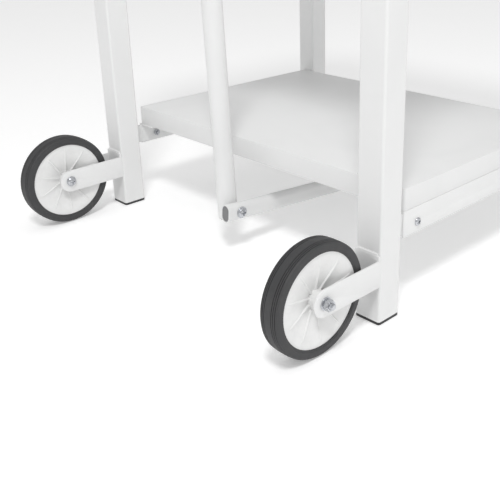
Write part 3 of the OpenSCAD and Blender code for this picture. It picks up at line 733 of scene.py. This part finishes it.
for side in ("left", "right"):
    sign = wheels[side]["sign"]
    low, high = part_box("axle_bolt_" + side)
    tip = high.x if sign > 0 else low.x
    seat = low.x if sign > 0 else high.x
    length = abs(tip - seat)
    headDepth = axleFit["headDepth"] * axleFit["shankR"]
    middle = Vector((seat, (low.y + high.y) / 2, (low.z + high.z) / 2))
    outline = threadedOutline(headDepth, length, axleFit["shankR"], length - axleFit["threadLength"],
                              axleFit["pitch"], axleFit["threadDepth"])
    shank = lathe(side + "Shank", outline + [(headDepth, 0)], axleFit["steps"], closed=False)
    head = panHeadMesh(side + "AxleHead", axleFit["headR"], axleFit["shankR"], axleFit["stub"])
    head.transform(Matrix.Rotation(-math.pi / 2, 4, "Y"))
    head.transform(Matrix.Translation((panHead["height"] * axleFit["headR"], 0, 0)))
    mesh = aimed(joined(side + "AxleBolt", [shank, head]), (sign, 0, 0), middle)
    shadeByAngle(mesh, axleFit["smooth"])
    asPiece(side + "AxleBolt", mesh, "frame", "zinc", "axle_bolt_" + side)

# nodes of plain nuts, all along x: their width across flats and their bore's radius
nuts = {
    "axle_nuts": {"flats": 0.013, "bore": 0.004},
    "rail_nuts": {"flats": 0.0102, "bore": 0.003},
    "lap_nut": {"flats": 0.013, "bore": 0.004},
    "fulcrum_nut": {"flats": 0.0136, "bore": 0.004},
}
for name, facts in nuts.items():
    parts = []
    for low, high in solidBoxes(name):
        middle = (low + high) / 2
        sign = 1 if middle.x > 0 or name != "axle_nuts" else -1
        middle.x = low.x if sign > 0 else high.x
        made = nutMesh(name, facts["flats"], high.x - low.x, facts["bore"])
        parts.append(aimed(made, (sign, 0, 0), middle))
    mesh = joined(name + "Made", parts)
    shadeByAngle(mesh, nutShape["smooth"])
    asPiece(name + "Made", mesh, bodyOf[name], "zinc", name)


print("sheet, plate and tube edges")

# how far each piece's sharp edges are rolled over, in metres
edgeRolls = {
    "lower_shelf": 0.0011, "storage_box": 0.0006, "lid": 0.0006, "shelf_stiffener": 0.0005,
    "lid_stiffener": 0.0005, "fork_left": 0.0006, "fork_right": 0.0006, "side_rail_left": 0.0009,
    "side_rail_right": 0.0009, "leg_brackets": 0.0006, "hinge_plates": 0.0007, "lid_lugs": 0.0006,
    "lid_crank": 0.0006, "pedal_hanger": 0.0006, "pedal_plate": 0.0008, "handle_brackets": 0.0008,
    "foot_caps": 0.0006, "top_rail_left": 0.0008, "top_rail_right": 0.0008, "top_rail_front": 0.0008,
    "top_rail_rear": 0.0008, "hinge_bolts": 0.0004, "box_screws": 0.0003, "hanger_screws": 0.0003,
    "fulcrum_bolt": 0.0004, "rod_pin": 0.0005, "lap_washer": 0.0002, "axle_washers": 0.0002,
    "handle_caps": 0.0005, "rod_plugs": 0.0002, "lever_plug": 0.0004, "handle_bar": 0.0003,
    "lid_bumpers": 0.0005, "pedal_pad": 0.0004,
}
for name, width in edgeRolls.items():
    softened(name, width)


print("small fasteners")

# nodes of pan-headed screws; the head faces +x for axis 1, +y for 2, -z for -3, and outboard for 0
panScrews = {
    "rail_bolts": {"body": "frame", "headR": 0.0057, "shankR": 0.003, "axis": 0},
    "shelf_screws": {"body": "frame", "headR": 0.00475, "shankR": 0.0025, "axis": -3},
    "handle_screws": {"body": "frame", "headR": 0.0057, "shankR": 0.003, "axis": 2},
    "lap_bolt": {"body": "lever", "headR": 0.0076, "shankR": 0.004, "axis": 1},
}
screwing = {"seed": 7, "smooth": 32}


# A screw stood on every point, turned to face the way the point says
def screwTree(graph, given):
    facing = graph.add("GeometryNodeInputNamedAttribute", {"data_type": "FLOAT_VECTOR"}, {
        "Name": "facing"})[0]
    turn = graph.add("FunctionNodeAlignRotationToVector", {"axis": "Z"}, {"Vector": facing})[0]
    spin = graph.add("FunctionNodeRandomValue", {"data_type": "FLOAT"}, {
        2: 0.0, 3: 6.28, 8: given["Seed"]})[0]
    twist = graph.add("FunctionNodeAxisAngleToRotation", {}, {"Axis": (0, 0, 1), "Angle": spin})[0]
    both = graph.add("FunctionNodeRotateRotation", {"rotation_space": "LOCAL"}, [turn, twist])[0]
    screw = graph.add("GeometryNodeObjectInfo", {}, {"Object": given["Screw"]})[-1]
    return graph.add("GeometryNodeInstanceOnPoints", {}, {
        "Points": given["Geometry"], "Instance": screw, "Rotation": both})[0]


for name, facts in panScrews.items():
    boxes = solidBoxes(name)
    points, facings = [], []
    for low, high in boxes:
        middle = (low + high) / 2
        axis = facts["axis"]
        index = 0 if axis in (0, 1) else abs(axis) - 1
        sign = (1 if middle.x > 0 else -1) if axis == 0 else (1 if axis > 0 else -1)
        length = high[index] - low[index]
        direction = [0.0, 0.0, 0.0]
        direction[index] = sign
        crown = high[index] if sign > 0 else low[index]
        middle[index] = crown - sign * panHead["height"] * facts["headR"]
        points.append(middle)
        facings.append(direction)
    shankL = length - panHead["height"] * facts["headR"]
    screwMesh = panHeadMesh(name + "Head", facts["headR"], facts["shankR"], shankL)
    screw = bpy.data.objects.new(name + "One", screwMesh)
    scene.collection.objects.link(screw)
    grow(name + "Made", pointMesh(name + "Points", points, facings),
         {"Screw": "NodeSocketObject", "Seed": "NodeSocketInt"}, screwTree,
         {"Screw": screw, "Seed": screwing["seed"]}, facts["body"], "zinc", (name,), screwing["smooth"])
    bpy.data.objects.remove(screw)


print("welds")

weld = {
    "pitch": 0.0021,
    "ripple": 0.55,  # how much the section's size changes, as a share of it
    "step": 0.0006,
    "seed": 3.0,
    "sides": 10,
    "smooth": 60,
    "topR": 0.0021,
    "sideR": 0.0017,
    "tabR": 0.0014,
    "clear": 0.001,  # a bead stops this far from the end of its edge
    "offset": 0.0006,  # from the leg's face to a bead's axis
    "rise": 0.0002,
    "topInset": 0.004,
    "armHalf": 0.018,  # half the length of a fork arm's edge
}


# A bead along every edge of the base: a round section whose size ripples as the welder's hand moved
def beadTree(graph, given):
    path = graph.add("GeometryNodeMeshToCurve", {}, [given["Geometry"]])[0]
    fine = graph.add("GeometryNodeResampleCurve", {"mode": "LENGTH"}, {
        "Curve": path, "Length": given["Step"]})[0]
    place = graph.add("GeometryNodeInputPosition")[0]
    waves = graph.add("ShaderNodeTexNoise", {"noise_dimensions": "4D"}, {
        "Vector": place, "W": given["Seed"], "Scale": 1.0 / given["Pitch"], "Detail": 1.0})[0]
    swell = 1.0 + (waves - 0.5) * given["Ripple"]
    profile = graph.add("GeometryNodeCurvePrimitiveCircle", {"mode": "RADIUS"}, {
        "Resolution": weld["sides"], "Radius": given["Radius"]})[0]
    tube = graph.add("GeometryNodeCurveToMesh", {}, {
        "Curve": fine, "Profile Curve": profile, "Fill Caps": True})[0]
    spread = graph.add("GeometryNodeInputNormal")[0]
    push = graph.add("ShaderNodeVectorMath", {"operation": "SCALE"}, {
        "Vector": spread, "Scale": (swell - 1.0) * given["Radius"]})[0]
    return graph.add("GeometryNodeSetPosition", {}, {"Geometry": tube, "Offset": push})[0]


# Beads of one thickness along straight lines of the frame
def beads(name, lines, radius):
    mesh = bpy.data.meshes.new(name + "Lines")
    points = [tuple(p) for line in lines for p in line]
    mesh.from_pydata(points, [(2 * i, 2 * i + 1) for i in range(len(lines))], [])
    return grow(name, mesh, {
        "Radius": "NodeSocketFloat", "Ripple": "NodeSocketFloat", "Pitch": "NodeSocketFloat",
        "Step": "NodeSocketFloat", "Seed": "NodeSocketFloat",
    }, beadTree, {
        "Radius": radius, "Ripple": weld["ripple"], "Pitch": weld["pitch"], "Step": weld["step"],
        "Seed": weld["seed"],
    }, "frame", "white_tube_paint", (), weld["smooth"])


forkLines, armLines = [], []
for side in ("left", "right"):
    low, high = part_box("fork_" + side)
    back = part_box("leg_rear_" + side)[0].y
    axle = wheels[side]["centre"].z
    inset, top = weld["topInset"], high.z + weld["rise"]
    behind, ahead = back - weld["offset"], back + weld["offset"]
    forkLines.append(((low.x + inset, behind, top), (high.x - inset, behind, top)))
    reach = weld["armHalf"] - weld["clear"]
    for x in (low.x + weld["sideR"], high.x - weld["sideR"]):
        armLines.append(((x, ahead, axle - reach), (x, ahead, axle + reach)))
beads("forkTopWelds", forkLines, weld["topR"])
beads("forkSideWelds", armLines, weld["sideR"])

tabLines = []
for low, high in solidBoxes("leg_brackets"):
    near = low.y if low.y < 0 else high.y
    outer = low.x if low.x < 0 else high.x
    inner = high.x if low.x < 0 else low.x
    for x in (outer, inner):
        tabLines.append(((x, near, low.z + weld["clear"]), (x, near, high.z - weld["clear"])))
beads("tabWelds", tabLines, weld["tabR"])


print("handle grip")

grip = {
    "ringPitch": 0.006,
    "ringHalf": 0.0012,
    "ringDepth": 0.0005,
    "plainEnd": 0.008,
    "endRound": 0.0022,
    "endShare": 0.3,
    "endDrop": 0.0007,
    "steps": 64,
    "smooth": 40,
}
low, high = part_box("handle_grip")
middle = (low + high) / 2
half = (high.x - low.x) / 2
outer = (high.z - low.z) / 2
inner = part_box("handle_bar")[1].z - middle.z
end = grip["endRound"]
outline = [(-half, inner), (-half, outer - end), (-half + end * grip["endShare"], outer - grip["endDrop"]),
           (-half + end, outer)]
along = -half + grip["plainEnd"]
while along < half - grip["plainEnd"]:
    outline += [(along, outer), (along + grip["ringHalf"], outer - grip["ringDepth"]),
                (along + 2 * grip["ringHalf"], outer)]
    along += grip["ringPitch"]
outline += [(-x, r) for x, r in outline[3::-1]]
mesh = turnedAt(lathe("gripSleeve", outline, grip["steps"]), middle)
shadeByAngle(mesh, grip["smooth"])
asPiece("gripSleeve", mesh, "frame", "grey_rubber", "handle_grip")


print("floor, light and camera")

studio = {
    "floorColour": (0.93, 0.93, 0.93),
    "floorShade": 0.985,
    "floorMix": 0.3,
    "floorCloud": 0.6,
    "floorRoughness": 0.9,
    "floorSize": 40.0,
    "floorDrop": 0.0002,
    "floorGlow": 0.22,
    "worldStrength": 0.61,
    "keyPower": 34.0,
    "keySize": 0.6,
    "keyPlace": (1.1, -1.28, 2.6),
    "fillPower": 7.0,
    "fillSize": 2.4,
    "fillPlace": (2.9, 0.9, 0.9),
    "aim": (0.0, -0.1, 0.15),
}
view = {
    "place": (0.8332, -0.8541, 0.5095),
    "turn": 45.09,
    "tilt": 20.53,
    "roll": -0.61,
    "lens": 54.21,
    "sensor": 36.0,
    "shift": (-0.11, -0.14),
}

bpy.ops.mesh.primitive_plane_add(size=studio["floorSize"], location=(0, 0, -studio["floorDrop"]))
floor = bpy.context.object
floor.name = "studioFloor"
floorMaterial, graph, where = newMaterial("studioFloor")
cloud = noiseAt(graph, where, studio["floorCloud"], 3.0)
darker = tuple(studio["floorShade"] * c for c in studio["floorColour"])
colour = graph.blend(cloud * studio["floorMix"], rgb(studio["floorColour"]), rgb(darker))
shader = graph.add("ShaderNodeBsdfPrincipled", {}, {
    "Base Color": colour, "Roughness": studio["floorRoughness"], "Emission Color": rgb((1, 1, 1)),
    "Emission Strength": studio["floorGlow"]})[0]
graph.add("ShaderNodeOutputMaterial", {}, {"Surface": shader})
floor.data.materials.append(floorMaterial)

world = bpy.data.worlds.new("studio")
scene.world = world
world.use_nodes = True
background = world.node_tree.nodes["Background"]
background.inputs["Color"].default_value = (1.0, 1.0, 1.0, 1.0)
background.inputs["Strength"].default_value = studio["worldStrength"]


# A round area light that looks at the cart
def softLight(name, place, size, power):
    light = bpy.data.lights.new(name, "AREA")
    light.shape = "DISK"
    light.size = size
    light.energy = power
    lamp = bpy.data.objects.new(name, light)
    scene.collection.objects.link(lamp)
    lamp.location = place
    lamp.rotation_euler = (Vector(studio["aim"]) - Vector(place)).to_track_quat("-Z", "Y").to_euler()


softLight("key", studio["keyPlace"], studio["keySize"], studio["keyPower"])
softLight("fill", studio["fillPlace"], studio["fillSize"], studio["fillPower"])

camera = bpy.data.cameras.new("view")
camera.lens = view["lens"]
camera.sensor_width = view["sensor"]
camera.shift_x, camera.shift_y = view["shift"]
watcher = bpy.data.objects.new("view", camera)
scene.collection.objects.link(watcher)
turn = Matrix.Rotation(math.radians(view["turn"]), 4, "Z")
tilt = Matrix.Rotation(math.radians(90 - view["tilt"]), 4, "X")
roll = Matrix.Rotation(math.radians(view["roll"]), 4, "Z")
watcher.matrix_world = Matrix.Translation(view["place"]) @ turn @ tilt @ roll
scene.camera = watcher
scene.view_settings.view_transform = "Standard"

print("done")
